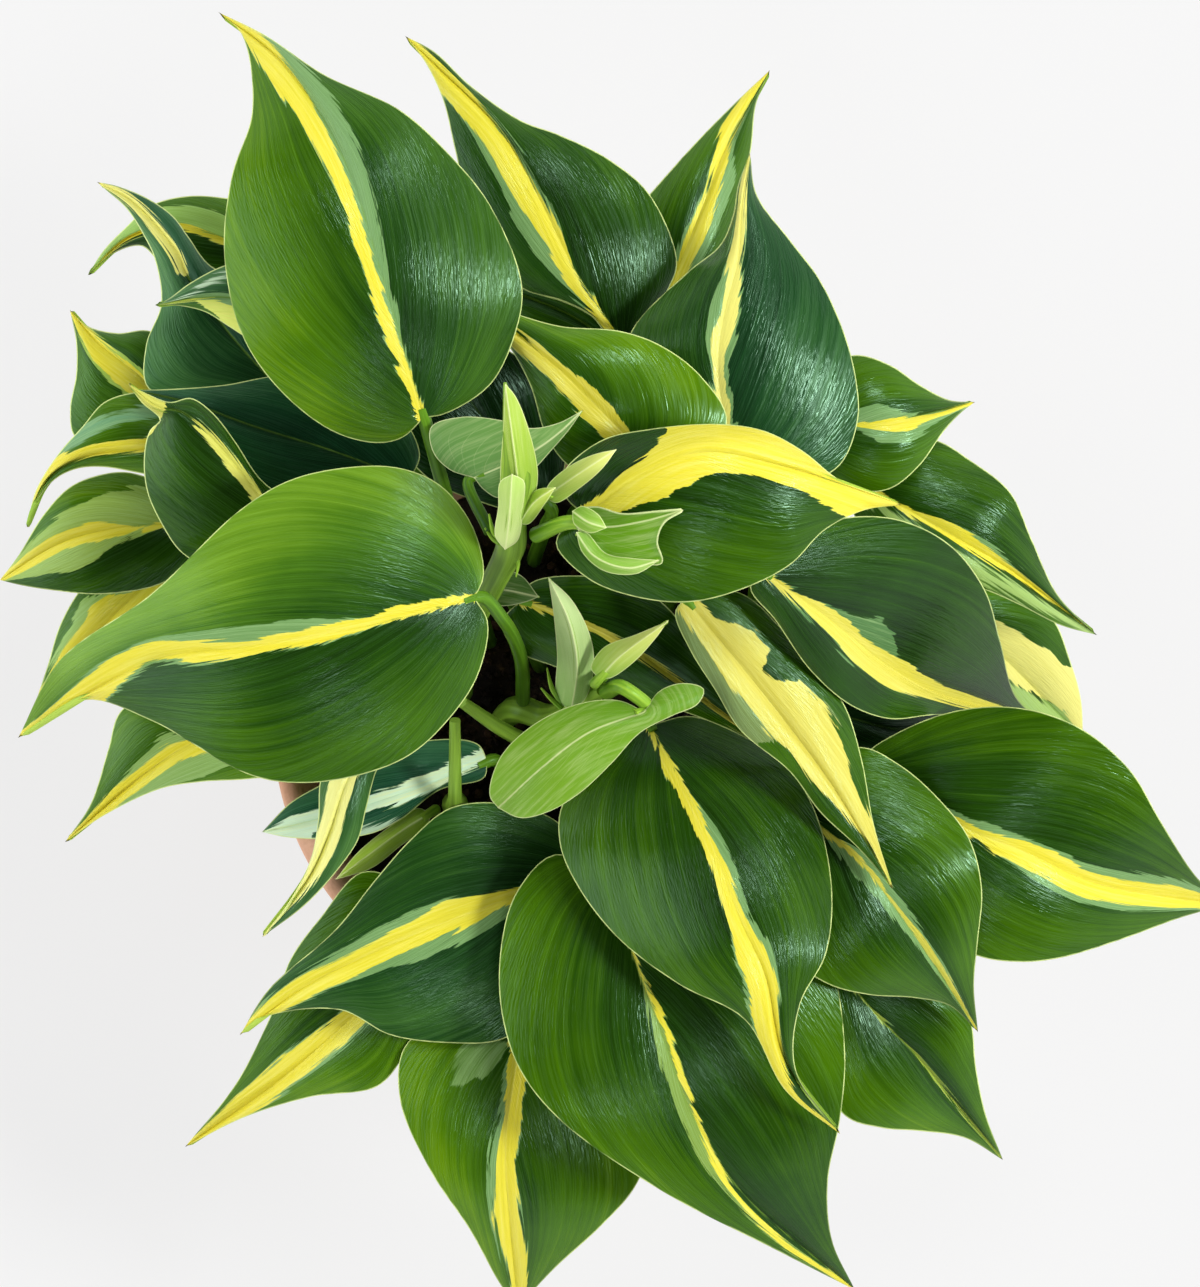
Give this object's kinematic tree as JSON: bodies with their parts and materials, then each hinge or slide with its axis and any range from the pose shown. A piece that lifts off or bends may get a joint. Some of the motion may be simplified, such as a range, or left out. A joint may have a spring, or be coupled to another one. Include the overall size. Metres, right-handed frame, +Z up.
{
  "type": "potted silver stripe philodendron",
  "caption": "Bushy heart-leaved climber with yellow and silver striped green leaves, growing in a round terracotta pot that stands on its own flat foot.",
  "frame": {"origin": "centre of the pot's flat foot, on the surface that it stands on", "axes": "+Z up; +Y towards the foliage's top edge as seen from straight above, +X towards its right edge"},
  "size_m": [0.2962, 0.3086, 0.2403],
  "materials": {
    "terracotta": "dry unglazed clay, matte",
    "soil": "moist potting mix of bark and peat, rough",
    "stem": "smooth green stem, satin",
    "striped_leaf": "waxy leaf with a yellow stripe, semi-gloss",
    "young_leaf": "soft young leaf, satin"
  },
  "bodies": {
    "root": {"pot": "terracotta", "soil": "soil", "vine_middle_with_bud": "stem", "vine_swollen": "stem", "stalk_slanting": "stem", "stalk_upright": "stem", "leaf_top_left": "striped_leaf", "leaf_top_middle": "striped_leaf", "leaf_top_right": "striped_leaf", "leaf_top_right_back": "striped_leaf", "leaf_centre_gold": "striped_leaf", "leaf_top_under": "striped_leaf", "leaf_top_sliver": "striped_leaf", "leaf_right_small": "striped_leaf", "leaf_right_back": "striped_leaf", "leaf_right_yellow": "striped_leaf", "leaf_right_middle": "striped_leaf", "leaf_right_large": "striped_leaf", "leaf_centre_yellow": "striped_leaf", "leaf_centre_dark": "striped_leaf", "leaf_lower_right": "striped_leaf", "leaf_bottom_centre": "striped_leaf", "leaf_bottom_large": "striped_leaf", "leaf_bottom_edge": "striped_leaf", "leaf_lower_left": "striped_leaf", "leaf_lower_left_back": "striped_leaf", "leaf_left_large": "striped_leaf", "leaf_left_under": "striped_leaf", "leaf_left_yellow": "striped_leaf", "leaf_left_upper": "striped_leaf", "leaf_left_second": "striped_leaf", "leaf_left_third": "striped_leaf", "leaf_left_long": "striped_leaf", "leaf_left_fold": "striped_leaf", "leaf_left_dark": "striped_leaf", "leaf_left_curled": "striped_leaf", "leaf_far_left": "striped_leaf", "leaf_low_narrow": "striped_leaf", "leaf_low_mint": "striped_leaf", "leaf_low_sheath": "young_leaf", "leaf_young_lime": "young_leaf", "leaf_young_pale": "young_leaf", "leaf_young_small": "young_leaf", "leaf_young_gold": "young_leaf", "leaf_young_curled": "young_leaf", "leaf_young_grey": "young_leaf", "leaf_young_dark": "young_leaf", "leaf_deep_middle": "striped_leaf", "leaf_deep_right": "striped_leaf", "leaf_bottom_right": "striped_leaf"}
  },
  "joints": []
}
